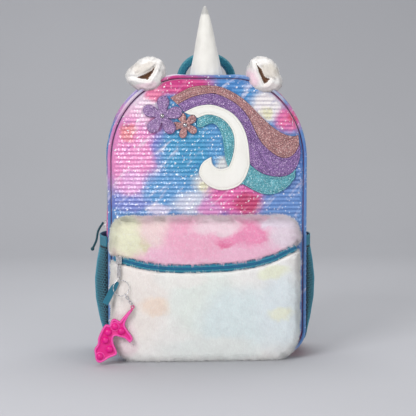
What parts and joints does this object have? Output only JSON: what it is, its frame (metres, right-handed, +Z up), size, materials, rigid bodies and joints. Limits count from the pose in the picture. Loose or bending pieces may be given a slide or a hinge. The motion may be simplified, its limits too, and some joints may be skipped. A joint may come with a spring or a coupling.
{
  "type": "kids animal backpack",
  "caption": "Child's plush unicorn backpack with zipped main and front pockets, side mesh pockets, stuffed horn and ears, and a hanging charm.",
  "frame": {"origin": "on the floor under the middle of the main bag, on its flat bottom", "axes": "+Z up, -Y towards the front pocket, +X to the right as seen from the front"},
  "size_m": [0.3259, 0.1877, 0.501],
  "materials": {
    "print": "galaxy tie-dye print on woven polyester, sequins on the front panel",
    "zipper_tape": "woven zipper tape with nylon coil",
    "metal": "plated zinc and steel",
    "cord": "braided cord",
    "plush_upper": "dyed short plush",
    "plush_lower": "dyed short plush",
    "mesh": "knitted mesh",
    "webbing": "woven webbing and padded nylon",
    "satin": "stuffed satin",
    "ear_plush": "short white plush",
    "rose_glitter": "glitter felt",
    "purple_glitter": "glitter felt",
    "white_felt": "felt with stitched edge",
    "teal_glitter": "glitter felt",
    "charm_silicone": "moulded silicone",
    "buckle": "moulded acetal"
  },
  "bodies": {
    "bag": {"bag_shell": "print", "front_piping": "print", "back_piping": "print", "main_zipper": "zipper_tape", "front_zipper": "zipper_tape", "main_slider": "metal", "front_slider": "metal", "stud_large": "metal", "stud_small": "metal", "main_pull_cord": "cord", "pocket_upper": "plush_upper", "pocket_lower": "plush_lower", "side_pocket_left": "mesh", "side_pocket_right": "mesh", "side_binding_left": "webbing", "side_binding_right": "webbing", "handle": "webbing", "strap_left": "webbing", "strap_right": "webbing", "webbing_left": "webbing", "webbing_right": "webbing", "horn": "satin", "ear_left": "ear_plush", "ear_right": "ear_plush", "mane_rose": "rose_glitter", "flower_small": "rose_glitter", "mane_purple": "purple_glitter", "flower_large": "purple_glitter", "mane_white": "white_felt", "mane_teal_inner": "teal_glitter", "mane_teal_outer": "teal_glitter", "buckle_left": "buckle", "buckle_right": "buckle"},
    "front_pull": {"front_pull_tab": "metal", "pull_jump_ring": "metal", "split_ring": "metal", "pull_ribbon": "webbing", "chain_link_1": "metal", "chain_link_2": "metal", "chain_link_3": "metal", "chain_link_4": "metal", "chain_link_5": "metal", "charm": "charm_silicone"}
  },
  "joints": [
    {"name": "front_pull_hinge", "type": "hinge", "parent": "bag", "child": "front_pull", "pos_m": [-0.126, -0.0944, 0.14445], "axis": [-1, 0, 0], "range_deg": [0, 80]}
  ]
}
